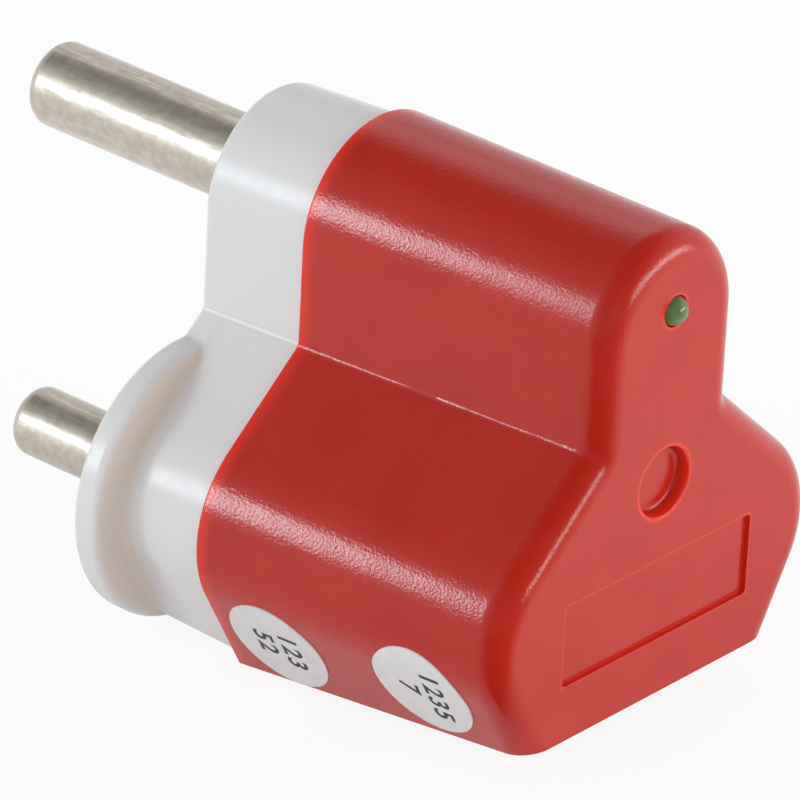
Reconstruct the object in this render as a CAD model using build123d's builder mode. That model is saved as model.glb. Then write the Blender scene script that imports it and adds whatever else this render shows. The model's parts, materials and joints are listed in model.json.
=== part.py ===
from build123d import *
import os
from math import cos, radians, sin, tan

os.makedirs("parts", exist_ok=True)

# A three-pin plug with round pins, in millimetres. The origin is midway between the live and
# neutral pins on the engagement face. The pins point along +Y, the earth pin is on top (+Z), and
# the rear face looks along -Y. A depth is a distance behind the engagement face.

# Pins: the standard sizes of the 15 A round-pin plug
earth_pin_radius = 8.71 / 2
earth_pin_length = 28.6
line_pin_radius = 7.06 / 2
line_pin_length = 18.6
pin_spacing = 25.4
earth_height = 28.6
tip_length = 1.3
tip_inset = 1.1
tip_bulge = 0.22
undercut = 0.7

# Outline of the housing at the parting plane, seen along Y
neck_radius = 10.6
neck_rise = 0.1
shoulder_radius = 11.35
shoulder_height = 2.0
flare_slope = 40.2
lower_side_lean = 29.7
crease_radius = 0.9
bottom_height = -13.0
skirt_below_bottom = 4.0

# Housing: a shallow base in front of the parting plane, a deep cover behind it. Both taper away
# from that plane. The base leans down a little towards the front, the cover up towards the rear,
# where its flare is steeper by the gain.
base_depth = 13.0
cover_depth = 36.6
base_draft = 0.7
base_lean = 2.7
cover_draft = 1.55
cover_lean = 1.5
cover_flare_gain = 1.8
base_inset = 0.8
base_wall = 2.3
base_floor = 4.0
root_in_floor = 1.0
front_edge_radius = 0.5
base_bottom_inset = 1.0
base_bottom_rise = 4.4
cover_wall = 1.8
cover_face_wall = 2.6
cover_edge_radius = 2.8
cover_inner_radius = 1.2
cover_rim_radius = 0.25
cover_bottom_rise = 6.7
lip_height = 2.0
lip_thickness = 1.0
lip_clearance = 0.3

# Finger flange round the live and neutral pins
flange_radius = 14.25
flange_rise = 1.3
flange_thickness = 2.9
flange_rim_radius = 0.95
flange_root_radius = 0.8
flange_root_margin = 0.1

# Marks in the rear face
lamp_height = 31.7
lamp_hole_radius = 1.6
dimple_height = 13.9
dimple_radius = 3.55
dimple_depth = 1.3
dimple_draft = 14.0
dimple_lip = 0.3
dimple_floor_radius = 0.5
panel_centre_height = 1.45
panel_width = 27.0
panel_height = 8.5
panel_depth = 0.45
panel_corner_radius = 0.5

# Screw that holds the cover, from the pin side into a boss of the cover
cover_screw_radius = 1.75
cover_screw_head_radius = 3.2
cover_screw_head_height = 2.2
cover_screw_length = 23.5
counterbore_radius = 3.6
counterbore_depth = 2.8
screw_clearance = 0.35
thread_clearance = 0.05
pillar_radius = 3.9
boss_radius = 3.9
boss_gap = 1.3
boss_rib_thickness = 1.2
boss_rib_depth = 4.0
boss_rib_reach = 26.0
retainer_radius = 3.3
retainer_thickness = 0.8
slot_width_share = 0.3

# Cord inlet in the bottom, split at the parting plane, and the clamp behind it
inlet_radius = 4.75
inlet_collar_radius = 6.5
inlet_top = -9.9
clamp_height = -6.9
clamp_width = 5.0
clamp_bar_end = 2.5
clamp_bar_thickness = 2.2
clamp_bar_depth = 15.6
clamp_grip_radius = 4.4
clamp_screw_spacing = 14.0
clamp_post_radius = 2.4
clamp_screw_radius = 1.25
clamp_screw_head_radius = 2.2
clamp_screw_head_height = 1.5
clamp_screw_length = 9.0
clamp_cut_margin = 1.0
saddle_depth = 10.6

# Pillar terminals at the rear ends of the pins
earth_head_radius = 4.9
line_head_radius = 4.2
head_height = 8.0
waist_share = 0.8
head_chamfer = 0.4
wire_hole_radius = 1.6
wire_hole_depth = 8.0
terminal_screw_radius = 1.6
terminal_screw_head_radius = 2.6
terminal_screw_head_height = 1.8
terminal_screw_stand = 1.6

# Circuit board on four posts of the base
board_depth = 24.0
board_thickness = 1.6
board_inset = 2.8
board_low_edge = -6.8
board_hole_clearance = 0.8
board_post_radius = 2.5
board_posts = [(-17.5, 6.0), (17.5, 6.0), (-5.2, 20.8), (5.2, 20.8)]
board_screw_radius = 1.0
board_screw_head_radius = 1.9
board_screw_head_height = 1.3
board_screw_length = 7.0

# Components on the rear side of the board
varistor_radius = 7.0
varistor_thickness = 4.8
varistor_edge = 0.9
varistor_height = 1.5
varistor_pitch = 12.0
varistor_leg_pitch = 7.5
component_gap = 2.0
component_lead_radius = 0.4
fuse_radius = 2.0
fuse_length = 7.0
fuse_spot = (-8.2, 9.4)
resistor_radius = 1.9
resistor_length = 7.0
resistor_spot = (8.2, 9.4)
diode_radius = 1.35
diode_length = 5.0
diode_spot = (0.0, 25.6)
wire_reach = 2.0
leg_stub = 1.0
body_gap = 0.3

# Lamp: a 3 mm light-emitting diode on a spacer
lamp_radius = 1.5
lamp_flange_radius = 1.9
lamp_flange_height = 1.0
lamp_body_height = 5.3
lamp_stand = 1.1
spacer_radius = 2.5
spacer_bore_radius = 1.6
lamp_lead_pitch = 2.0
lamp_lead_radius = 0.3

# Insulated leads from the terminals to the board
lead_radius = 1.1
lead_bend = 2.5
line_lead_reach = 5.9
earth_lead_reach = 6.3

# Round inspection stickers on the lower left side of the cover
sticker_radius = 5.65
sticker_thickness = 0.12
front_sticker_depth = 20.7
front_sticker_height = -7.0
rear_sticker_depth = 39.1
rear_sticker_height = -4.3

parting = base_depth
root_depth = base_floor - root_in_floor
rear = base_depth + cover_depth
neck_height = earth_height + neck_rise
line_x = pin_spacing / 2
below = bottom_height - skirt_below_bottom


def behind(depth, rise=0.0):
    """The plane at a depth behind the engagement face, facing the rear, its origin raised."""
    return Plane((0, -depth, rise), x_dir=(1, 0, 0), z_dir=(0, -1, 0))


def ahead(depth):
    """The plane at a depth behind the engagement face, facing the pins."""
    return Plane((0, -depth, 0), x_dir=(-1, 0, 0), z_dir=(0, 1, 0))


def side_normal(angle):
    """The outward direction at an angle round the shoulder."""
    return Vector(cos(radians(angle)), sin(radians(angle)))


shoulder = Vector(line_x, shoulder_height)
side_out = side_normal(-lower_side_lean)


def corner_x(height, inset=0.0):
    """Where the lower side reaches a height."""
    reach = shoulder.dot(side_out) + shoulder_radius - inset
    return (reach - side_out.Y * height) / side_out.X


def outline(plane, inset, slope=flare_slope, low=below):
    """The housing's outline: round neck, flared shoulders, lower sides that lean in, flat bottom."""
    neck = neck_radius - inset
    bulge = shoulder_radius - inset
    flare_out = side_normal(90 - slope)
    bulge_out = side_normal((90 - slope - lower_side_lean) / 2)
    crease = (shoulder.dot(flare_out) + bulge - flare_out.X * neck) / flare_out.Y
    with BuildSketch(plane) as drawn:
        with BuildLine():
            Line((0, low), (corner_x(low, inset), low))
            Line((corner_x(low, inset), low), shoulder + side_out * bulge)
            ThreePointArc(
                shoulder + side_out * bulge,
                shoulder + bulge_out * bulge,
                shoulder + flare_out * bulge,
            )
            Line(shoulder + flare_out * bulge, (neck, crease))
            Line((neck, crease), (neck, neck_height))
            ThreePointArc(
                (neck, neck_height),
                (neck * sin(radians(45)), neck_height + neck * cos(radians(45))),
                (0, neck_height + neck),
            )
            mirror(about=Plane.YZ)
        make_face()
        creases = drawn.vertices().filter_by_position(Axis.Y, crease - 0.01, crease + 0.01)
        fillet(creases, crease_radius)
    return drawn.sketch


def base_section(depth, inset):
    """The base's outline at a depth, narrowed and lowered from the parting plane on."""
    way = parting - depth
    draft = way * tan(radians(base_draft))
    return outline(behind(depth, -way * tan(radians(base_lean))), base_inset + inset + draft)


def cover_section(depth, inset):
    """The cover's outline at a depth, narrowed and raised from the parting plane on."""
    way = depth - parting
    draft = way * tan(radians(cover_draft))
    slope = flare_slope + cover_flare_gain * way / cover_depth
    return outline(behind(depth, way * tan(radians(cover_lean))), inset + draft, slope)


def between(first, second):
    """The solid between two outlines."""
    with BuildPart() as made:
        loft([first, second], ruled=True)
    return made.part


def disc(plane, radius, spots=((0, 0),)):
    """Round profiles at spots given in X and Z."""
    with BuildSketch(plane) as drawn:
        with Locations(*spots):
            Circle(radius)
    return drawn.sketch


def bottom_plane(rise, height):
    """A bottom that rises away from the parting plane, forwards for a negative rise."""
    slope = radians(rise)
    return Plane((0, -parting, height), x_dir=(1, 0, 0), z_dir=(0, sin(slope), cos(slope)))


cover_bottom = bottom_plane(cover_bottom_rise, bottom_height)
base_bottom = bottom_plane(-base_bottom_rise, bottom_height + base_bottom_inset)


# Pins, each a place in X and Z with its radius
pins = [
    (0, earth_height, earth_pin_radius),
    (line_x, 0, line_pin_radius),
    (-line_x, 0, line_pin_radius),
]


def terminal_pin(x, height, radius, length, head_radius, wire_along):
    """A turned pin: domed tip, shaft, waist gripped by the floor, pillar terminal at the rear."""
    waist = radius * waist_share
    tip_radius = radius - tip_inset
    head_end = base_floor + head_height
    with BuildPart() as pin:
        with BuildSketch(Plane((x, 0, height))):
            with BuildLine():
                Line((0, length), (tip_radius, length))
                ThreePointArc(
                    (tip_radius, length),
                    (radius - tip_inset / 2 + tip_bulge, length - tip_length / 2 + tip_bulge),
                    (radius, length - tip_length),
                )
                Polyline(
                    (radius, length - tip_length),
                    (radius, 0),
                    (waist, -undercut),
                    (waist, -base_floor),
                    (head_radius, -base_floor),
                    (head_radius, -head_end + head_chamfer),
                    (head_radius - head_chamfer, -head_end),
                    (0, -head_end),
                    (0, length),
                )
            make_face()
        revolve(axis=Axis((x, 0, height), (0, 1, 0)))
        with Locations(Plane((x, -wire_hole_depth, height), z_dir=wire_along)):
            Hole(wire_hole_radius, depth=head_radius)
        with Locations(Plane((x, -head_end, height), z_dir=(0, -1, 0))):
            Hole(terminal_screw_radius, depth=head_end - wire_hole_depth)
    return pin.part


# Base: the moulded body that carries the pins, with the finger flange
lip_inset = cover_wall + lip_clearance
lip_core_inset = lip_inset + lip_thickness
lip_end = parting + lip_height
pillar_profile = disc(behind(root_depth), pillar_radius, [(0, dimple_height)])
post_profiles = disc(behind(root_depth), board_post_radius, board_posts)
clamp_spots = [(side * clamp_screw_spacing / 2, clamp_height) for side in (-1, 1)]
clamp_post_profiles = disc(behind(root_depth), clamp_post_radius, clamp_spots)

with BuildPart() as base_core:
    add(between(base_section(parting, base_wall), base_section(base_floor, base_wall)))
    split(bisect_by=base_bottom.offset(base_wall), keep=Keep.TOP)

with BuildPart() as lip:
    add(between(cover_section(parting, lip_inset), cover_section(lip_end, lip_inset)))
    add(
        between(cover_section(parting, lip_core_inset), cover_section(lip_end, lip_core_inset)),
        mode=Mode.SUBTRACT,
    )
    split(bisect_by=cover_bottom.offset(cover_wall + lip_clearance), keep=Keep.TOP)
    with BuildSketch(behind(parting)):
        with Locations((0, below)):
            Rectangle(2 * (inlet_collar_radius + lip_clearance), 2 * (clamp_height - below))
    extrude(amount=lip_height, mode=Mode.SUBTRACT)

with BuildPart() as flange:
    with BuildSketch(Plane.XZ):
        with Locations((0, flange_rise)):
            SlotCenterToCenter(pin_spacing, 2 * flange_radius)
    extrude(amount=flange_thickness)
    fillet(flange.faces().sort_by(Axis.Y)[0].edges(), flange_rim_radius)

flange_flat = flange_radius - flange_rim_radius - flange_root_margin


def is_side_root(edge):
    """Whether an edge on the flange's back is where the base's side meets it."""
    middle = edge.position_at(0.5)
    reach = Vector(abs(middle.X) - line_x, middle.Z - flange_rise).length
    return abs(middle.X) > line_x and reach < flange_flat


with BuildPart() as base:
    add(between(base_section(parting, 0), base_section(0, 0)))
    split(bisect_by=base_bottom, keep=Keep.TOP)
    add(flange.part)
    flange_back = base.edges().filter_by_position(
        Axis.Y, -flange_thickness - 0.01, -flange_thickness + 0.01
    )
    fillet([edge for edge in flange_back if is_side_root(edge)], flange_root_radius)
    fillet(base.faces().sort_by(Axis.Y)[-1].edges(), front_edge_radius)
    add(base_core.part, mode=Mode.SUBTRACT)
    add(lip.part)
    extrude(pillar_profile, amount=parting - root_depth)
    extrude(post_profiles, amount=board_depth - root_depth)
    extrude(clamp_post_profiles, amount=clamp_bar_depth - root_depth)
    with BuildSketch(behind(root_depth)):
        with Locations((0, clamp_height)):
            Rectangle(clamp_screw_spacing, clamp_width)
    extrude(amount=saddle_depth - root_depth)
    with BuildSketch(Plane.XY.offset(clamp_height - clamp_width / 2 - clamp_cut_margin)):
        with Locations((0, -parting)):
            Circle(clamp_grip_radius)
    extrude(amount=clamp_width + 2 * clamp_cut_margin, mode=Mode.SUBTRACT)
    with BuildSketch(Plane.XY.offset(inlet_top)):
        with Locations((0, -parting)):
            Circle(inlet_radius)
    extrude(amount=below - inlet_top, mode=Mode.SUBTRACT)
    for x, height, radius in pins:
        with BuildSketch(Plane((x, 0, height))):
            Polygon(
                (0, 0),
                (radius, 0),
                (radius * waist_share, -undercut),
                (radius * waist_share, -base_floor),
                (0, -base_floor),
                align=None,
            )
        revolve(axis=Axis((x, 0, height), (0, 1, 0)), mode=Mode.SUBTRACT)
    with Locations(Plane((0, 0, dimple_height), z_dir=(0, 1, 0))):
        CounterBoreHole(
            cover_screw_radius + screw_clearance, counterbore_radius, counterbore_depth, depth=parting
        )
    with Locations(*[Plane((x, -board_depth, z), z_dir=(0, -1, 0)) for x, z in board_posts]):
        Hole(board_screw_radius, depth=board_screw_length - board_thickness)
    with Locations(*[Plane((x, -clamp_bar_depth, z), z_dir=(0, -1, 0)) for x, z in clamp_spots]):
        Hole(clamp_screw_radius, depth=clamp_screw_length - clamp_bar_thickness)
base.part.label = "base"
export_step(base.part, "parts/base.step")


# Pins
earth_pin = terminal_pin(0, earth_height, earth_pin_radius, earth_pin_length, earth_head_radius, (0, 0, 1))
earth_pin.label = "earth_pin"
export_step(earth_pin, "parts/earth_pin.step")

live_pin = terminal_pin(line_x, 0, line_pin_radius, line_pin_length, line_head_radius, (1, 0, 0))
live_pin.label = "live_pin"
export_step(live_pin, "parts/live_pin.step")

neutral_pin = terminal_pin(-line_x, 0, line_pin_radius, line_pin_length, line_head_radius, (1, 0, 0))
neutral_pin.label = "neutral_pin"
export_step(neutral_pin, "parts/neutral_pin.step")


def slotted_screw(spots, depth, shank_radius, length, head_radius, head_height):
    """Slotted screws along Y, entered from the rear: the head rests at a depth, the shank points ahead."""
    with BuildPart() as screws:
        for x, z in spots:
            with BuildSketch(Plane((x, -depth, z), x_dir=(1, 0, 0), z_dir=(0, -1, 0))):
                Circle(shank_radius)
            extrude(amount=-length)
            with BuildSketch(Plane((x, -depth, z), x_dir=(1, 0, 0), z_dir=(0, -1, 0))):
                Circle(head_radius)
            extrude(amount=head_height)
            with BuildSketch(Plane((x, -depth - head_height, z), x_dir=(1, 0, 0), z_dir=(0, -1, 0))):
                Rectangle(2 * head_radius, head_radius * slot_width_share)
            extrude(amount=-head_height / 2, mode=Mode.SUBTRACT)
    return screws.part


# Terminal screws, each pressing on the lead in its wire hole
terminal_screw_seat = base_floor + head_height + terminal_screw_stand
terminal_screw_length = terminal_screw_seat - wire_hole_depth - lead_radius
for name, (x, height, radius) in zip(("earth", "live", "neutral"), pins):
    screw = slotted_screw(
        [(x, height)],
        terminal_screw_seat,
        terminal_screw_radius,
        terminal_screw_length,
        terminal_screw_head_radius,
        terminal_screw_head_height,
    )
    screw.label = name + "_terminal_screw"
    export_step(screw, "parts/" + name + "_terminal_screw.step")


# Cord clamp: a saddle bar with an arch over the cord, on two screws
clamp_bar_length = clamp_screw_spacing + 2 * clamp_bar_end

with BuildPart() as cord_clamp_bar:
    with BuildSketch(Plane.XY.offset(clamp_height - clamp_width / 2)):
        with Locations((0, -parting)):
            Circle(clamp_grip_radius + clamp_bar_thickness)
        with Locations((0, -clamp_bar_depth - clamp_bar_thickness / 2)):
            Rectangle(clamp_bar_length, clamp_bar_thickness)
        with Locations((0, -clamp_bar_depth + inlet_radius * 2)):
            Rectangle(clamp_bar_length, inlet_radius * 4, mode=Mode.SUBTRACT)
        with Locations((0, -parting)):
            Circle(clamp_grip_radius, mode=Mode.SUBTRACT)
    extrude(amount=clamp_width)
    with Locations(*[Plane((x, -clamp_bar_depth, z), z_dir=(0, -1, 0)) for x, z in clamp_spots]):
        Hole(clamp_screw_radius)
cord_clamp_bar.part.label = "cord_clamp_bar"
export_step(cord_clamp_bar.part, "parts/cord_clamp_bar.step")

cord_clamp_screws = slotted_screw(
    clamp_spots,
    clamp_bar_depth + clamp_bar_thickness,
    clamp_screw_radius,
    clamp_screw_length,
    clamp_screw_head_radius,
    clamp_screw_head_height,
)
cord_clamp_screws.label = "cord_clamp_screws"
export_step(cord_clamp_screws, "parts/cord_clamp_screws.step")


# Cover: the deep rear moulding, open towards the base
boss_profile = disc(behind(parting + boss_gap), boss_radius, [(0, dimple_height)])
dimple_profile = disc(ahead(rear), dimple_radius, [(0, dimple_height)])

cover_block = between(cover_section(parting, 0), cover_section(rear, 0))

with BuildPart() as cover_core:
    add(between(cover_section(parting, cover_wall), cover_section(rear - cover_face_wall, cover_wall)))
    fillet(cover_core.faces().sort_by(Axis.Y)[0].edges(), cover_inner_radius)
    split(bisect_by=cover_bottom.offset(cover_wall), keep=Keep.TOP)

with BuildPart() as cover:
    add(cover_block)
    fillet(cover.faces().sort_by(Axis.Y)[0].edges(), cover_edge_radius)
    fillet(cover.faces().sort_by(Axis.Y)[-1].edges(), cover_rim_radius)
    add(cover_core.part, mode=Mode.SUBTRACT)
    extrude(boss_profile, amount=cover_depth - boss_gap - cover_face_wall / 2)
    with BuildSketch(behind(rear - cover_face_wall - boss_rib_depth)):
        with Locations((0, dimple_height)):
            Rectangle(boss_rib_reach, boss_rib_thickness)
    extrude(amount=boss_rib_depth + cover_face_wall / 2)
    with BuildSketch(Plane.XY.offset(inlet_top)):
        with Locations((0, -parting)):
            Circle(inlet_collar_radius)
        with Locations((0, -parting + inlet_collar_radius)):
            Rectangle(2 * inlet_collar_radius, 2 * inlet_collar_radius, mode=Mode.SUBTRACT)
    extrude(amount=below - inlet_top)
    split(bisect_by=cover_bottom, keep=Keep.TOP)
    with BuildSketch(Plane.XY.offset(inlet_top)):
        with Locations((0, -parting)):
            Circle(inlet_radius)
    extrude(amount=below - inlet_top, mode=Mode.SUBTRACT)
    with Locations(Plane((0, -parting - boss_gap, dimple_height), z_dir=(0, 1, 0))):
        Hole(cover_screw_radius + thread_clearance, depth=cover_screw_length)
    with Locations(Plane((0, -rear, lamp_height), z_dir=(0, -1, 0))):
        Hole(lamp_hole_radius, depth=cover_face_wall + cover_inner_radius)
    extrude(dimple_profile, amount=dimple_depth, taper=dimple_draft, mode=Mode.SUBTRACT)
    dimple_floor = cover.edges().filter_by_position(
        Axis.Y, dimple_depth - rear - 0.01, dimple_depth - rear + 0.01
    )
    fillet(dimple_floor.filter_by(GeomType.CIRCLE), dimple_floor_radius)
    dimple_edge = cover.faces().sort_by(Axis.Y)[0].inner_wires().sort_by(Axis.Z)[0]
    fillet(dimple_edge.edges(), dimple_lip)
    with BuildSketch(behind(rear)):
        with Locations((0, panel_centre_height)):
            RectangleRounded(panel_width, panel_height, panel_corner_radius)
    extrude(amount=-panel_depth, mode=Mode.SUBTRACT)
cover.part.label = "cover"
export_step(cover.part, "parts/cover.step")


# Stickers: thin round labels that follow the cover's side
skin_end = rear - cover_edge_radius
with BuildPart() as skin:
    add(between(cover_section(parting, -sticker_thickness), cover_section(skin_end, -sticker_thickness)))
    add(cover_block, mode=Mode.SUBTRACT)
    split(bisect_by=cover_bottom, keep=Keep.TOP)


def sticker(depth, height):
    """A round label on the lower left side, centred at a depth and a height."""
    rise = tan(radians(cover_lean))
    taper = tan(radians(cover_draft))
    x = (depth - parting) * taper / side_out.X - corner_x(height - (depth - parting) * rise)
    outward = (-side_out.X, side_out.Y * rise - taper, side_out.Y)
    with BuildPart() as label:
        with BuildSketch(Plane((x, -depth, height), z_dir=outward)):
            Circle(sticker_radius)
        extrude(amount=cover_wall, both=True)
        add(skin.part, mode=Mode.INTERSECT)
    return label.part


front_sticker = sticker(front_sticker_depth, front_sticker_height)
front_sticker.label = "front_sticker"
export_step(front_sticker, "parts/front_sticker.step")

rear_sticker = sticker(rear_sticker_depth, rear_sticker_height)
rear_sticker.label = "rear_sticker"
export_step(rear_sticker, "parts/rear_sticker.step")


# Cover screw from the pin side, kept in the base by a washer on its shank
with BuildPart() as cover_screw:
    with BuildSketch(ahead(counterbore_depth)):
        with Locations((0, dimple_height)):
            Circle(cover_screw_head_radius)
    extrude(amount=cover_screw_head_height)
    fillet(cover_screw.faces().sort_by(Axis.Y)[-1].edges(), cover_screw_head_height / 4)
    with BuildSketch(behind(counterbore_depth)):
        with Locations((0, dimple_height)):
            Circle(cover_screw_radius)
    extrude(amount=cover_screw_length)
    chamfer(cover_screw.faces().sort_by(Axis.Y)[0].edges(), cover_screw_radius / 2)
    with BuildSketch(ahead(counterbore_depth - cover_screw_head_height)):
        with Locations((0, dimple_height)):
            Rectangle(2 * cover_screw_head_radius, cover_screw_head_radius * slot_width_share)
    extrude(amount=-cover_screw_head_height / 2, mode=Mode.SUBTRACT)
cover_screw.part.label = "cover_screw"
export_step(cover_screw.part, "parts/cover_screw.step")

with BuildPart() as screw_retainer:
    with BuildSketch(behind(parting)):
        with Locations((0, dimple_height)):
            Circle(retainer_radius)
            Circle(cover_screw_radius, mode=Mode.SUBTRACT)
    extrude(amount=retainer_thickness)
screw_retainer.part.label = "screw_retainer"
export_step(screw_retainer.part, "parts/screw_retainer.step")


# Circuit board and the parts that stand on its rear side
board_rear = board_depth + board_thickness
varistor_spots = [(step * varistor_pitch, varistor_height) for step in (-1, 0, 1)]
varistor_legs = [
    (x, z + side * varistor_leg_pitch / 2) for x, z in varistor_spots for side in (-1, 1)
]


def axial_legs(spot, length):
    """Where the two wires of a lying part enter the board."""
    reach = length / 2 + wire_reach
    return [(spot[0] - reach, spot[1]), (spot[0] + reach, spot[1])]


lamp_legs = [(side * lamp_lead_pitch / 2, lamp_height) for side in (-1, 1)]
thick_legs = (
    varistor_legs
    + axial_legs(fuse_spot, fuse_length)
    + axial_legs(resistor_spot, resistor_length)
    + axial_legs(diode_spot, diode_length)
)
board_outline = outline(behind(board_depth), board_inset, low=board_low_edge)

with BuildPart() as circuit_board:
    extrude(board_outline, amount=board_thickness)
    extrude(
        disc(behind(board_depth), boss_radius + board_hole_clearance, [(0, dimple_height)]),
        amount=board_thickness,
        mode=Mode.SUBTRACT,
    )
    for radius, spots in (
        (board_screw_radius, board_posts),
        (component_lead_radius, thick_legs),
        (lamp_lead_radius, lamp_legs),
    ):
        extrude(disc(behind(board_depth), radius, spots), amount=board_thickness, mode=Mode.SUBTRACT)
circuit_board.part.label = "circuit_board"
export_step(circuit_board.part, "parts/circuit_board.step")

board_screws = slotted_screw(
    board_posts,
    board_rear,
    board_screw_radius,
    board_screw_length,
    board_screw_head_radius,
    board_screw_head_height,
)
board_screws.label = "board_screws"
export_step(board_screws, "parts/board_screws.step")


def varistor(spot):
    """A coated disc standing on two wires."""
    centre = board_rear + component_gap + varistor_radius
    with BuildPart() as part:
        with BuildSketch(Plane((spot[0], -centre, spot[1]), z_dir=(1, 0, 0))):
            Circle(varistor_radius)
        extrude(amount=varistor_thickness / 2, both=True)
        chamfer(part.edges().filter_by(GeomType.CIRCLE), varistor_edge)
        legs = [(spot[0], spot[1] + side * varistor_leg_pitch / 2) for side in (-1, 1)]
        extrude(disc(behind(board_depth - leg_stub), component_lead_radius, legs), amount=centre - board_depth)
    return part.part


varistor_names = ("varistor_neutral_earth", "varistor_live_neutral", "varistor_live_earth")
for name, spot in zip(varistor_names, varistor_spots):
    piece = varistor(spot)
    piece.label = name
    export_step(piece, "parts/" + name + ".step")


def axial_part(spot, radius, length):
    """A round body lying along X on a wire that is bent down into the board at both ends."""
    centre = board_rear + radius + body_gap
    left, right = axial_legs(spot, length)
    with BuildPart() as part:
        with BuildLine() as wire:
            Polyline(
                (left[0], leg_stub - board_depth, left[1]),
                (left[0], -centre, left[1]),
                (right[0], -centre, right[1]),
                (right[0], leg_stub - board_depth, right[1]),
            )
        with BuildSketch(Plane(wire.line @ 0, z_dir=wire.line % 0)):
            Circle(component_lead_radius)
        sweep(transition=Transition.RIGHT)
        with BuildSketch(Plane((spot[0], -centre, spot[1]), z_dir=(1, 0, 0))):
            Circle(radius)
        extrude(amount=length / 2, both=True)
    return part.part


for name, spot, radius, length in (
    ("thermal_fuse", fuse_spot, fuse_radius, fuse_length),
    ("lamp_resistor", resistor_spot, resistor_radius, resistor_length),
    ("lamp_diode", diode_spot, diode_radius, diode_length),
):
    piece = axial_part(spot, radius, length)
    piece.label = name
    export_step(piece, "parts/" + name + ".step")


# Lamp on its spacer, its lens standing out of the hole in the rear face
lamp_tip = rear + lamp_stand
lamp_foot = lamp_tip - lamp_body_height

with BuildPart() as status_lamp:
    with BuildSketch(Plane((0, 0, lamp_height))):
        with BuildLine():
            Polyline(
                (0, -lamp_tip),
                (0, -lamp_foot),
                (lamp_flange_radius, -lamp_foot),
                (lamp_flange_radius, -lamp_foot - lamp_flange_height),
                (lamp_radius, -lamp_foot - lamp_flange_height),
                (lamp_radius, -lamp_tip + lamp_radius),
            )
            ThreePointArc(
                (lamp_radius, -lamp_tip + lamp_radius),
                (lamp_radius * cos(radians(45)), -lamp_tip + lamp_radius * (1 - sin(radians(45)))),
                (0, -lamp_tip),
            )
        make_face()
    revolve(axis=Axis((0, 0, lamp_height), (0, 1, 0)))
    extrude(
        disc(behind(board_depth - leg_stub), lamp_lead_radius, lamp_legs),
        amount=lamp_foot - board_depth + leg_stub + lamp_flange_height / 2,
    )
status_lamp.part.label = "status_lamp"
export_step(status_lamp.part, "parts/status_lamp.step")

with BuildPart() as lamp_spacer:
    with BuildSketch(behind(board_rear)):
        with Locations((0, lamp_height)):
            Circle(spacer_radius)
            Circle(spacer_bore_radius, mode=Mode.SUBTRACT)
    extrude(amount=lamp_foot - board_rear)
lamp_spacer.part.label = "lamp_spacer"
export_step(lamp_spacer.part, "parts/lamp_spacer.step")


def board_lead(x, height, out_x, out_height):
    """An insulated lead: out of a terminal's wire hole, round a bend and back to the board."""
    with BuildPart() as lead:
        with BuildLine() as route:
            FilletPolyline(
                (x, -wire_hole_depth, height),
                (out_x, -wire_hole_depth, out_height),
                (out_x, -board_depth, out_height),
                radius=lead_bend,
            )
        with BuildSketch(Plane(route.line @ 0, z_dir=route.line % 0)):
            Circle(lead_radius)
        sweep()
    return lead.part


for name, start_x, start_height, end_x, end_height in (
    ("earth_lead", 0, earth_height, 0, earth_height + earth_lead_reach),
    ("live_lead", line_x, 0, line_x + line_lead_reach, 0),
    ("neutral_lead", -line_x, 0, -line_x - line_lead_reach, 0),
):
    piece = board_lead(start_x, start_height, end_x, end_height)
    piece.label = name
    export_step(piece, "parts/" + name + ".step")
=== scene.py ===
"""A three-pin mains plug: white base and flange, deep red cover, nickel pins, a green lamp."""

import json
from math import cos, radians, sin

import bpy
from mathutils import Matrix, Vector
from mathutils.bvhtree import BVHTree


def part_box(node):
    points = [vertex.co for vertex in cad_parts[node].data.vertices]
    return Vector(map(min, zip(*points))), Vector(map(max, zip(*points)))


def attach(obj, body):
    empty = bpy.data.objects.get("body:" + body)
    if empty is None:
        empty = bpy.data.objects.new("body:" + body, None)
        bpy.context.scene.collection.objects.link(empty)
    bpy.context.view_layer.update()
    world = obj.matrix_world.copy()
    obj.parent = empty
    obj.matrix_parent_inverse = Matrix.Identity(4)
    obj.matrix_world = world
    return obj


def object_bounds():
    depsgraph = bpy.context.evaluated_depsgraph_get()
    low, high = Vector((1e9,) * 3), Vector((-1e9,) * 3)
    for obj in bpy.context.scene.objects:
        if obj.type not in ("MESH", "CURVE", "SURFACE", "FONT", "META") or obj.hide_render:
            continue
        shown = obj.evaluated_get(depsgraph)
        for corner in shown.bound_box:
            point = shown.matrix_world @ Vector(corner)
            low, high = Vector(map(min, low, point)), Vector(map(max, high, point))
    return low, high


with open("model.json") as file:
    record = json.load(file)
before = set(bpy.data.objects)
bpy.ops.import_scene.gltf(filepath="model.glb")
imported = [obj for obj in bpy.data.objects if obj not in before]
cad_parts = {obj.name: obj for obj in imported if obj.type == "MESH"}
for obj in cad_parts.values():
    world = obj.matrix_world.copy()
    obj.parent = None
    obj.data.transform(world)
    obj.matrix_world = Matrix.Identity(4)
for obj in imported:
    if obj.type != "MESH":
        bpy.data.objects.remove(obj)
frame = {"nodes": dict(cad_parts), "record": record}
cad_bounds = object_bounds()
nodes = frame["nodes"]
scene = bpy.context.scene
scene.view_settings.view_transform = "Standard"
MM = 0.001

# The camera, fitted to the pins and the outline of the housing
CAMERA_PLACE = Vector((-0.57081, -0.49231, 0.38826))
CAMERA_TARGET = Vector((0.009956, -0.008823, 0.003946))
CAMERA_ROLL = radians(2.88)
CAMERA_LENS = 393.5
CAMERA_SENSOR = 36.0
CAMERA_CLIP = 0.05

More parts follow.
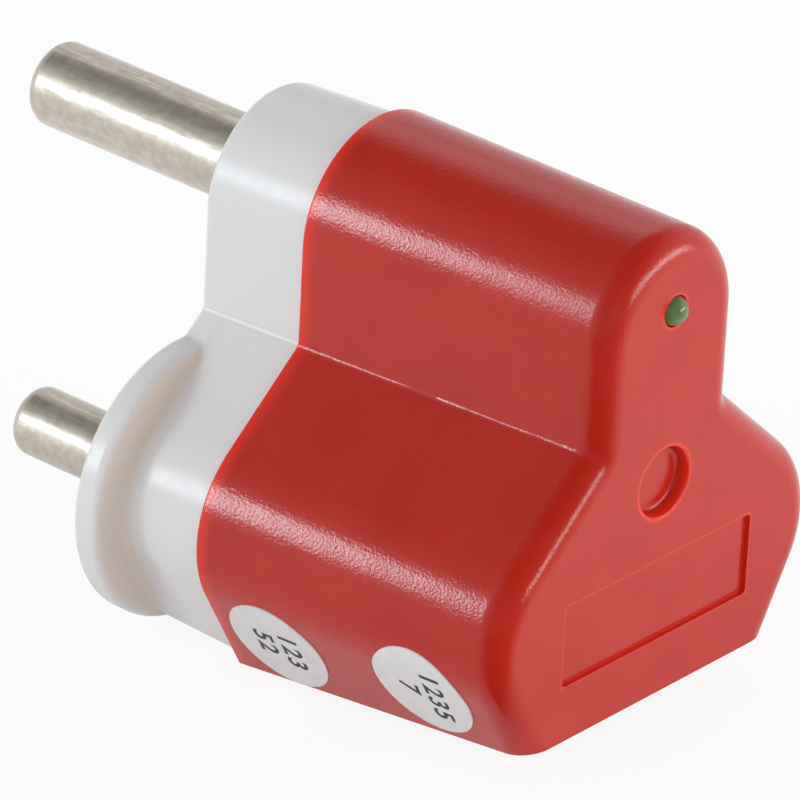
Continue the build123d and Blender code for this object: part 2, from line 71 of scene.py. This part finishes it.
# Places on the object in millimetres, which the finishes follow. Depth counts rearwards from
# the engagement face, and height from the live and neutral pins. In a pair of depths or
# heights, a finish starts to change at the first and has changed at the second.
PARTING = -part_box("cover")[1].y / MM
REAR = -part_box("cover")[0].y / MM
FLANGE_BACK = 2.9
LAMP_HEIGHT = 31.7
LAMP_HOLE = 1.6
DIMPLE_HEIGHT = 13.9
DIMPLE_RADIUS = 3.65
PANEL_HEIGHT = 1.45
PANEL_HALF = (13.5, 4.25)
# Where the painted glow of light through the plastic lies: by the parting line, and at the rear
# face
RIM_GLOW_DEPTHS = (PARTING, PARTING + 2.0)
FACE_GLOW_DEPTHS = (REAR - 2.5, REAR - 2.0)
WORN_DEPTHS = (PARTING + 6, REAR - 4)
WORN_HEIGHTS = (20, 26)
# Where the painted warm shade lies, where the neck meets the flange: its depths and the height
# it ends at
ROOT_SHADE_START_DEPTHS = (FLANGE_BACK - 0.4, FLANGE_BACK + 0.1)
ROOT_SHADE_END_DEPTHS = (FLANGE_BACK + 0.3, FLANGE_BACK + 1.4)
ROOT_SHADE_END_HEIGHTS = (14, 18)
# Half widths of the painted glow's lines round the dimple and lamp hole, and round the
# rectangular recess
EDGE_HALF = 0.3
PANEL_EDGE_HALF = 0.2

# Linear colours: the two ends of each finish's mottle, the brighter red of a painted glow for
# light coming through the plastic at an edge and over the shade in the face's recess walls, and
# the warmer white of a painted shade where the neck meets the flange, which also stands for
# light through it
RED_TONES = ((0.505, 0.0150, 0.0050), (0.545, 0.0185, 0.0070))
RED_EDGE_GLOW = (0.82, 0.030, 0.010)
WHITE_TONES = ((0.805, 0.79, 0.79), (0.835, 0.82, 0.82))
WHITE_ROOT_SHADE = (0.80, 0.725, 0.645)
NICKEL_TONES = ((0.57, 0.505, 0.425), (0.66, 0.600, 0.520))
LENS_TONES = ((0.17, 0.27, 0.10), (0.28, 0.40, 0.17))
PLAIN_DARKER = 0.85
# Shares of the painted glow in the rear face, over all and round the rectangular recess
EDGE_GLOW_SHARE = 0.9
PANEL_GLOW_SHARE = 0.6

# The part of a noise's values that a finish spreads out, and where a line's soft edge starts
# and ends, in half widths of the line
MIDDLE_NOISE = (0.3, 0.7)
MOST_NOISE = (0.2, 0.8)
LINE_EDGE = (0.6, 1.4)

# Roughness and bump. Both plastics stay under 0.27 all over, since worm-like specks show in the
# denoised render wherever a plastic's roughness runs across 0.27 to 0.28.
RED_ROUGHNESS = 0.18
RED_WORN = 0.05
RED_GRAIN = 0.025
WHITE_ROUGHNESS = (0.20, 0.26)
NICKEL_ROUGHNESS = (0.30, 0.50)
PLAIN_SPREAD = 0.05
SKIN_HEIGHT = 0.05 * MM
RED_SKIN = 0.37
WHITE_SKIN = 0.14

# The room has one level where a surface mirrors it (by height) and another where it lights one
# (soft). Both are dimmer on the camera's side, and so is the mirrored floor: a span says where
# that starts and is full, as the cosine between a direction and DIM_SIDE, and a dim value how
# much it takes. FLOOR_TILT makes the mirrored floor brighter towards +X.
DIM_SIDE = Vector((-0.634, -0.773, 0))
ROOM_BY_HEIGHT = (
    (0.0, 0.95), (0.34, 0.95), (0.45, 0.82), (0.70, 0.56),
    (0.76, 0.44), (0.82, 0.20), (0.95, 0.12),
)
ROOM_DIM = 0.82
ROOM_DIM_SPAN = (0.2, 0.85)
SOFT_SPAN = (0.15, 0.9)
SOFT_LOW = 1.50
SOFT_HIGH = 0.42
SOFT_DIM = 0.05
FLOOR_HEIGHT = cad_bounds[0][2]
FLOOR_SIZE = 3.0
FLOOR_COLOUR = 0.9
FLOOR_FAINT = 0.12
FLOOR_SEEN = 0.89
FLOOR_MIRRORED = 0.85
FLOOR_TILT = 0.10
FLOOR_DIM = 0.86
FLOOR_DIM_SPAN = (0.15, 0.85)
FLOOR_DIM_CORNER = Vector((-0.022, -0.050, 0))
FOOT_MIDDLE = Vector((0, -0.022, 0))
FOOT_REACH = (0.03, 0.075)
FOOT_SHADE = 0.74

# Three soft lamps round the object, in degrees, metres and watts. Azimuth 0 looks along +Y, and
# 90 along +X.
LAMPS = {
    "key": {
        "azimuth": -53, "elevation": 14.5, "distance": 1.0,
        "width": 0.18, "height": 0.28, "power": 1.9, "colour": (0.82, 0.94, 1.0),
    },
    "side": {
        "azimuth": 152, "elevation": 11, "distance": 1.0,
        "width": 0.9, "height": 0.22, "power": 3.9, "colour": (1.0, 0.985, 0.97),
    },
    "top": {
        "azimuth": 42, "elevation": 42, "distance": 1.2,
        "width": 0.7, "height": 0.4, "power": 0.5, "colour": (1.0, 0.99, 0.98),
    },
}

# Numbers printed on the two round stickers. The print is dropped from PRINT_DROP above the
# label onto its outer face, whose normals all have an x below OUTER_NORMAL. From DIGIT_HEIGHT
# on, measures are in millimetres.
STICKER_LINES = {"front_sticker": ("123", "52"), "rear_sticker": ("1235", "7")}
OUTER_NORMAL = -0.5
DIGIT_SPACING = 1.15
DIGIT_STEPS = 6
FONT_PER_HEIGHT = 1.4
DIGIT_HEIGHT = 2.3
DIGIT_WEIGHT = 0.06
LINE_PITCH = 3.2
PRINT_STAND = 0.012
PRINT_DROP = 5


class Shader:
    """A material's node tree, with short calls for the nodes that every finish uses."""

    def __init__(self, name):
        self.material = bpy.data.materials.new(name)
        self.material.use_nodes = True
        self.tree = self.material.node_tree
        self.out = self.tree.nodes["Material Output"]
        self.bsdf = self.tree.nodes["Principled BSDF"]

    def node(self, kind, **settings):
        made = self.tree.nodes.new(kind)
        for key, value in settings.items():
            setattr(made, key, value)
        return made

    def link(self, source, target):
        self.tree.links.new(source, target)

    def put(self, socket, value):
        """A number or colour is set on a socket, and another socket is linked to it."""
        if isinstance(value, bpy.types.NodeSocket):
            self.link(value, socket)
        else:
            socket.default_value = value

    def set(self, **values):
        for key, value in values.items():
            self.put(self.bsdf.inputs[key.replace("_", " ")], value)

    def place(self, scale=(1, 1, 1)):
        """The point on the object in millimetres, each axis scaled."""
        coords = self.node("ShaderNodeTexCoord")
        mapping = self.node("ShaderNodeMapping")
        mapping.inputs["Scale"].default_value = [s / MM for s in scale]
        self.link(coords.outputs["Object"], mapping.inputs["Vector"])
        return mapping.outputs["Vector"]

    def split(self, vector):
        made = self.node("ShaderNodeSeparateXYZ")
        self.link(vector, made.inputs["Vector"])
        return made.outputs

    def axes(self):
        """The point's place across the plug, its height and its depth, in millimetres."""
        across, along, height = self.split(self.place())
        return across, height, self.math("MULTIPLY", along, -1.0)

    def noise(self, per_mm, detail=2.0, stretch=(1, 1, 1)):
        made = self.node("ShaderNodeTexNoise")
        self.link(self.place(stretch), made.inputs["Vector"])
        made.inputs["Scale"].default_value = per_mm
        made.inputs["Detail"].default_value = detail
        return made.outputs["Fac"]

    def math(self, operation, *values):
        made = self.node("ShaderNodeMath", operation=operation)
        for socket, value in zip(made.inputs, values):
            self.put(socket, value)
        return made.outputs["Value"]

    def vector(self, operation, *values):
        """A vector operation, whose result is in one of the outputs Vector and Value."""
        made = self.node("ShaderNodeVectorMath", operation=operation)
        for socket, value in zip(made.inputs, values):
            self.put(socket, value)
        return made.outputs

    def square(self, value):
        return self.math("MULTIPLY", value, value)

    def ramp(self, value, low, high, to_low=0.0, to_high=1.0):
        """A value between two limits, eased onto two others."""
        made = self.node("ShaderNodeMapRange", interpolation_type="SMOOTHSTEP")
        limits = {"From Min": low, "From Max": high, "To Min": to_low, "To Max": to_high}
        for key, number in limits.items():
            made.inputs[key].default_value = number
        self.put(made.inputs["Value"], value)
        return made.outputs["Result"]

    def line(self, distance, half):
        """A line of a given half width where a distance is nought, with soft edges."""
        away = self.math("ABSOLUTE", distance)
        return self.ramp(away, LINE_EDGE[0] * half, LINE_EDGE[1] * half, 1.0, 0.0)

    def mix(self, share, first, second):
        """A colour between two others. The node's colours are its sockets 6 and 7."""
        made = self.node("ShaderNodeMix", data_type="RGBA")
        self.put(made.inputs["Factor"], share)
        for socket, colour in ((made.inputs[6], first), (made.inputs[7], second)):
            linked = isinstance(colour, bpy.types.NodeSocket)
            self.put(socket, colour if linked else (*colour, 1))
        return made.outputs[2]

    def blend(self, share, first, second):
        """A number between two others."""
        made = self.node("ShaderNodeMix")
        for key, value in {"Factor": share, "A": first, "B": second}.items():
            self.put(made.inputs[key], value)
        return made.outputs["Result"]

    def diffuse(self, level):
        made = self.node("ShaderNodeBsdfDiffuse")
        made.inputs["Color"].default_value = (level, level, level, 1)
        return made.outputs["BSDF"]

    def bump(self, height, distance, strength, under=None):
        made = self.node("ShaderNodeBump")
        made.inputs["Strength"].default_value = strength
        made.inputs["Distance"].default_value = distance
        self.put(made.inputs["Height"], height)
        if under:
            self.link(under, made.inputs["Normal"])
        return made.outputs["Normal"]


def mould_skin(shader, depth):
    """The fine skin of a moulding: draw marks along the plug, short flecks and slow waves."""
    flecks = shader.noise(per_mm=3.8, detail=1.5, stretch=(1, 0.8, 1))
    marks = shader.noise(per_mm=3.0, detail=1.5, stretch=(1, 0.10, 1))
    slow = shader.noise(per_mm=0.16, detail=1.0)
    waves = shader.bump(slow, SKIN_HEIGHT, strength=0.4)
    drawn = shader.bump(marks, SKIN_HEIGHT, strength=0.4 * depth, under=waves)
    return shader.bump(flecks, SKIN_HEIGHT, strength=depth, under=drawn)


def face_edge_glow(shader, across, height, depth):
    """A painted glow along the sharp edge lines in the rear face, for light coming through the
    plastic and as painted light over the shade in the walls of the rectangular recess, the
    dimple and the lamp hole.
    """
    def round_glow(middle, radius):
        up = shader.math("SUBTRACT", height, middle)
        squares = shader.math("ADD", shader.square(across), shader.square(up))
        away = shader.math("SQRT", squares)
        return shader.line(shader.math("SUBTRACT", away, radius), EDGE_HALF)

    def past(place, limit):
        return shader.math("SUBTRACT", shader.math("ABSOLUTE", place), limit)

    beside = past(across, PANEL_HALF[0])
    over = past(shader.math("SUBTRACT", height, PANEL_HEIGHT), PANEL_HALF[1])
    panel_glow = shader.line(shader.math("MAXIMUM", beside, over), PANEL_EDGE_HALF)
    edge_glow = shader.math("MULTIPLY", panel_glow, PANEL_GLOW_SHARE)
    edge_glow = shader.math("MAXIMUM", edge_glow, round_glow(DIMPLE_HEIGHT, DIMPLE_RADIUS))
    edge_glow = shader.math("MAXIMUM", edge_glow, round_glow(LAMP_HEIGHT, LAMP_HOLE))
    return shader.math("MULTIPLY", edge_glow, shader.ramp(depth, *FACE_GLOW_DEPTHS))


def red_plastic():
    """Deep red, with a painted glow of brighter red along the parting line and the face's sharp
    edge lines, and duller at the neck's rear.
    """
    shader = Shader("red_plastic")
    across, height, depth = shader.axes()
    mottle = shader.noise(per_mm=0.12, detail=3.0)
    body = shader.mix(shader.ramp(mottle, *MIDDLE_NOISE), *RED_TONES)
    # Painted glow: brighter red by the parting line and the face's edge lines, for light through
    # the plastic and over recess shade
    rim_glow = shader.ramp(depth, *RIM_GLOW_DEPTHS, 1.0, 0.0)
    edge_glow = shader.math("MULTIPLY", face_edge_glow(shader, across, height, depth), EDGE_GLOW_SHARE)
    rear = shader.ramp(depth, *WORN_DEPTHS)
    neck = shader.ramp(height, *WORN_HEIGHTS)
    worn = shader.math("MULTIPLY", rear, neck)
    grain = shader.ramp(shader.noise(per_mm=1.1), *MOST_NOISE, -RED_GRAIN, RED_GRAIN)
    rough = shader.math("MULTIPLY_ADD", worn, RED_WORN, RED_ROUGHNESS)
    shader.set(
        Base_Color=shader.mix(shader.math("MAXIMUM", rim_glow, edge_glow), body, RED_EDGE_GLOW),
        Roughness=shader.math("ADD", rough, grain),
        Subsurface_Weight=0.10,
        Subsurface_Radius=(1.0, 0.12, 0.06),
        Subsurface_Scale=1.2 * MM,
        Normal=mould_skin(shader, RED_SKIN),
    )
    return shader.material


def white_plastic():
    """White, with a painted warm shade where the neck meets the flange, which also stands for
    light coming through the flange.
    """
    shader = Shader("white_plastic")
    _, height, depth = shader.axes()
    body = shader.mix(shader.noise(per_mm=0.1, detail=3.0), *WHITE_TONES)
    # Painted warm shade where the neck meets the flange, partly standing for light through the
    # flange
    root_shade = shader.math(
        "MULTIPLY",
        shader.ramp(depth, *ROOT_SHADE_START_DEPTHS),
        shader.ramp(depth, *ROOT_SHADE_END_DEPTHS, 1.0, 0.0),
    )
    low = shader.ramp(height, *ROOT_SHADE_END_HEIGHTS, 1.0, 0.0)
    shader.set(
        Base_Color=shader.mix(shader.math("MULTIPLY", root_shade, low), body, WHITE_ROOT_SHADE),
        Roughness=shader.ramp(shader.noise(per_mm=1.1), *MOST_NOISE, *WHITE_ROUGHNESS),
        Specular_IOR_Level=0.34,
        Subsurface_Weight=0.25,
        Subsurface_Radius=(1.0, 0.9, 0.75),
        Subsurface_Scale=1.5 * MM,
        Normal=mould_skin(shader, WHITE_SKIN),
    )
    return shader.material


def nickel():
    """Plate with cloudy patches, fine rings from turning and a few streaks along the pin."""
    shader = Shader("nickel")
    cloud = shader.ramp(shader.noise(per_mm=1.1, detail=4.0), *MIDDLE_NOISE)
    rings = shader.noise(per_mm=1.0, detail=3.0, stretch=(0.7, 7.0, 0.7))
    streaks = shader.noise(per_mm=2.4, detail=3.0, stretch=(1, 0.12, 1))
    turned = shader.bump(rings, 0.03 * MM, strength=0.2)
    shader.set(
        Base_Color=shader.mix(cloud, *NICKEL_TONES),
        Metallic=1.0,
        Roughness=shader.ramp(streaks, *MIDDLE_NOISE, *NICKEL_ROUGHNESS),
        Coat_Weight=0.8,
        Coat_Roughness=0.09,
        Normal=shader.bump(streaks, 0.04 * MM, strength=0.30, under=turned),
    )
    return shader.material


def plain(name, colour, roughness, metallic=0.0):
    """A finish with a slow mottle in colour and roughness, and a fine grain."""
    shader = Shader(name)
    mottle = shader.noise(per_mm=0.5, detail=3.0)
    darker = [PLAIN_DARKER * c for c in colour]
    spread = (roughness - PLAIN_SPREAD, roughness + PLAIN_SPREAD)
    shader.set(
        Base_Color=shader.mix(mottle, darker, colour),
        Metallic=metallic,
        Roughness=shader.ramp(mottle, *MOST_NOISE, *spread),
        Normal=shader.bump(shader.noise(per_mm=3.0), SKIN_HEIGHT, strength=0.1),
    )
    return shader.material


def lamp_lens():
    """Hazy green resin that lets some light through."""
    shader = Shader("lamp_lens")
    shader.set(
        Base_Color=shader.mix(shader.noise(per_mm=0.9), *LENS_TONES),
        Roughness=0.12,
        Transmission_Weight=0.35,
        IOR=1.5,
        Subsurface_Weight=0.5,
        Subsurface_Radius=(0.4, 1.0, 0.4),
        Subsurface_Scale=1.0 * MM,
        Normal=shader.bump(shader.noise(per_mm=1.5), 0.02 * MM, strength=0.2),
    )
    return shader.material


def direction(azimuth, elevation):
    azimuth, elevation = radians(azimuth), radians(elevation)
    flat = cos(elevation)
    return Vector((sin(azimuth) * flat, cos(azimuth) * flat, sin(elevation)))


def area_light(name, facts):
    light = bpy.data.lights.new(name, "AREA")
    light.shape = "RECTANGLE"
    light.size = facts["width"]
    light.size_y = facts["height"]
    light.energy = facts["power"]
    light.color = facts["colour"]
    lamp = bpy.data.objects.new(name, light)
    towards = direction(facts["azimuth"], facts["elevation"])
    lamp.location = CAMERA_TARGET + towards * facts["distance"]
    lamp.rotation_euler = (-towards).to_track_quat("-Z", "Y").to_euler()
    scene.collection.objects.link(lamp)


def towards_dim_side(shader, vector, span, most):
    """A share that grows as a direction turns to DIM_SIDE, and that direction laid flat."""
    flat = shader.vector("MULTIPLY", vector, (1, 1, 0))["Vector"]
    unit = shader.vector("NORMALIZE", flat)["Vector"]
    facing = shader.vector("DOT_PRODUCT", unit, DIM_SIDE)["Value"]
    return shader.ramp(facing, *span, 0.0, most), unit


class WorldShader(Shader):
    """The same short calls for the world's node tree."""

    def __init__(self, name):
        self.world = bpy.data.worlds.new(name)
        self.world.use_nodes = True
        self.tree = self.world.node_tree
        self.tree.nodes.clear()
        self.out = self.node("ShaderNodeOutputWorld")


def room():
    """White behind the object, a dimmer ceiling, and a dim room on the camera's side."""
    shader = WorldShader("studio")
    scene.world = shader.world
    ray = shader.node("ShaderNodeTexCoord").outputs["Generated"]
    height = shader.split(ray)["Z"]
    by_height = shader.node("ShaderNodeValToRGB")
    points = by_height.color_ramp.elements
    while len(points) < len(ROOM_BY_HEIGHT):
        points.new(0.5)
    for point, (position, level) in zip(points, ROOM_BY_HEIGHT):
        point.position = position
        point.color = (level, level, level, 1)
    shader.link(height, by_height.inputs["Fac"])
    dim, _ = towards_dim_side(shader, ray, ROOM_DIM_SPAN, ROOM_DIM)
    bright = shader.math("SUBTRACT", 1.0, dim)
    mirrored = shader.math("MULTIPLY", by_height.outputs["Color"], bright)
    soft_bright = shader.math("MULTIPLY_ADD", dim, -SOFT_DIM / ROOM_DIM, 1.0)
    soft = shader.ramp(height, *SOFT_SPAN, SOFT_LOW, SOFT_HIGH)
    soft = shader.math("MULTIPLY", soft, soft_bright)
    path = shader.node("ShaderNodeLightPath").outputs
    level = shader.blend(path["Is Diffuse Ray"], mirrored, soft)
    background = shader.node("ShaderNodeBackground")
    seen = shader.blend(path["Is Camera Ray"], level, 1.0)
    shader.link(seen, background.inputs["Strength"])
    shader.link(background.outputs["Background"], shader.out.inputs["Surface"])


def floor():
    """White to the camera, and in the object's gloss dimmer on DIM_SIDE and round the foot."""
    bpy.ops.mesh.primitive_plane_add(size=FLOOR_SIZE, location=(0, 0, FLOOR_HEIGHT))
    plane = bpy.context.object
    plane.name = "floor"
    shader = Shader("floor_white")
    shader.tree.nodes.remove(shader.bsdf)
    spot = shader.node("ShaderNodeTexCoord").outputs["Object"]
    from_corner = shader.vector("SUBTRACT", spot, FLOOR_DIM_CORNER)["Vector"]
    dim, unit = towards_dim_side(shader, from_corner, FLOOR_DIM_SPAN, FLOOR_DIM)
    tilt = shader.math("MULTIPLY_ADD", shader.split(unit)["X"], FLOOR_TILT, FLOOR_MIRRORED)
    reach = shader.vector("DISTANCE", spot, FOOT_MIDDLE)["Value"]
    shade = shader.ramp(reach, *FOOT_REACH, FOOT_SHADE, 1.0)
    mirrored = shader.math("MULTIPLY", shader.math("SUBTRACT", tilt, dim), shade)
    path = shader.node("ShaderNodeLightPath").outputs
    glow = shader.node("ShaderNodeEmission")
    seen = shader.blend(path["Is Camera Ray"], mirrored, FLOOR_SEEN)
    shader.link(seen, glow.inputs["Strength"])
    white = shader.node("ShaderNodeAddShader")
    shader.link(shader.diffuse(FLOOR_FAINT), white.inputs[0])
    shader.link(glow.outputs["Emission"], white.inputs[1])
    direct = shader.math("MAXIMUM", path["Is Camera Ray"], path["Is Glossy Ray"])
    direct = shader.math("MAXIMUM", direct, path["Is Transmission Ray"])
    choice = shader.node("ShaderNodeMixShader")
    shader.link(direct, choice.inputs["Fac"])
    shader.link(shader.diffuse(FLOOR_COLOUR), choice.inputs[1])
    shader.link(white.outputs["Shader"], choice.inputs[2])
    shader.link(choice.outputs["Shader"], shader.out.inputs["Surface"])
    plane.data.materials.append(shader.material)


def camera():
    data = bpy.data.cameras.new("camera")
    data.lens = CAMERA_LENS
    data.sensor_width = CAMERA_SENSOR
    data.clip_start = CAMERA_CLIP
    eye = bpy.data.objects.new("camera", data)
    turn = (CAMERA_TARGET - CAMERA_PLACE).to_track_quat("-Z", "Y").to_matrix()
    turn = turn @ Matrix.Rotation(CAMERA_ROLL, 3, "Z")
    eye.matrix_world = Matrix.Translation(CAMERA_PLACE) @ turn.to_4x4()
    scene.collection.objects.link(eye)
    scene.camera = eye


def outer_face(mesh):
    """The middle and the mean outward direction of a label's outer face, which faces -X."""
    outer = [face for face in mesh.polygons if face.normal.x < OUTER_NORMAL]
    whole = sum(face.area for face in outer)
    middle = sum((face.center * face.area for face in outer), Vector()) / whole
    outward = sum((face.normal * face.area for face in outer), Vector()).normalized()
    return middle, outward


def digits(name, text):
    """A mesh of plain digits, lying in X and Y round the origin."""
    font = bpy.data.curves.new(name, "FONT")
    font.body = text
    font.align_x = "CENTER"
    font.align_y = "CENTER"
    font.size = DIGIT_HEIGHT * FONT_PER_HEIGHT * MM
    font.space_character = DIGIT_SPACING
    font.resolution_u = DIGIT_STEPS
    font.offset = DIGIT_WEIGHT * MM
    font.extrude = PRINT_STAND / 2 * MM
    maker = bpy.data.objects.new(name, font)
    scene.collection.objects.link(maker)
    ready = maker.evaluated_get(bpy.context.evaluated_depsgraph_get())
    mesh = bpy.data.meshes.new_from_object(ready)
    bpy.data.objects.remove(maker)
    return mesh


def sticker_print(node, lines):
    """Lines of digits that read down the side, as thin ink that follows the label's face."""
    label = nodes[node].data
    points = [vertex.co for vertex in label.vertices]
    surface = BVHTree.FromPolygons(points, [face.vertices for face in label.polygons])
    middle, outward = outer_face(label)
    upwards = (Vector((0, -1, 0)) - outward * -outward.y).normalized()
    along = upwards.cross(outward)
    for number, text in enumerate(lines):
        mesh = digits(node + "_digits", text)
        line_middle = middle + upwards * (0.5 - number) * LINE_PITCH * MM
        for vertex in mesh.vertices:
            x, y, z = vertex.co
            above = line_middle + along * x + upwards * y + outward * PRINT_DROP * MM
            hit = surface.ray_cast(above, -outward)[0]
            vertex.co = hit + outward * (PRINT_STAND * MM if z > 0 else 0)
        mesh.materials.clear()
        mesh.materials.append(FINISHES["print_ink"])
        piece = bpy.data.objects.new(node + "_print_" + str(number + 1), mesh)
        scene.collection.objects.link(piece)
        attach(piece, "cover")


# A finish for each material slot of the record, and the ink
FINISHES = {
    "base_plastic": white_plastic(),
    "cover_plastic": red_plastic(),
    "pin_metal": nickel(),
    "screw_metal": plain("zinc", (0.62, 0.62, 0.60), 0.35, metallic=1.0),
    "washer_fibre": plain("fibre", (0.30, 0.12, 0.07), 0.7),
    "sticker_paper": plain("paper", (0.89, 0.875, 0.865), 0.6),
    "print_ink": plain("ink", (0.035, 0.035, 0.04), 0.5),
    "board_laminate": plain("laminate", (0.02, 0.16, 0.06), 0.35),
    "varistor_coating": plain("epoxy_blue", (0.02, 0.06, 0.30), 0.45),
    "fuse_body": plain("ceramic", (0.62, 0.52, 0.30), 0.4),
    "resistor_body": plain("lacquer", (0.25, 0.36, 0.45), 0.4),
    "diode_body": plain("epoxy_black", (0.02, 0.02, 0.02), 0.35),
    "lamp_lens": lamp_lens(),
    "spacer_plastic": plain("nylon", (0.02, 0.02, 0.02), 0.5),
    "earth_insulation": plain("green_lead", (0.10, 0.35, 0.03), 0.45),
    "live_insulation": plain("brown_lead", (0.16, 0.05, 0.02), 0.45),
    "neutral_insulation": plain("blue_lead", (0.02, 0.08, 0.40), 0.45),
}

for row in frame["record"]["subparts"]:
    mesh = nodes[row["node"]].data
    mesh.materials.clear()
    mesh.materials.append(FINISHES[row["material_slot"]])

room()
floor()
for lamp_name, lamp_facts in LAMPS.items():
    area_light(lamp_name, lamp_facts)
camera()
for sticker_name, sticker_lines in STICKER_LINES.items():
    sticker_print(sticker_name, sticker_lines)
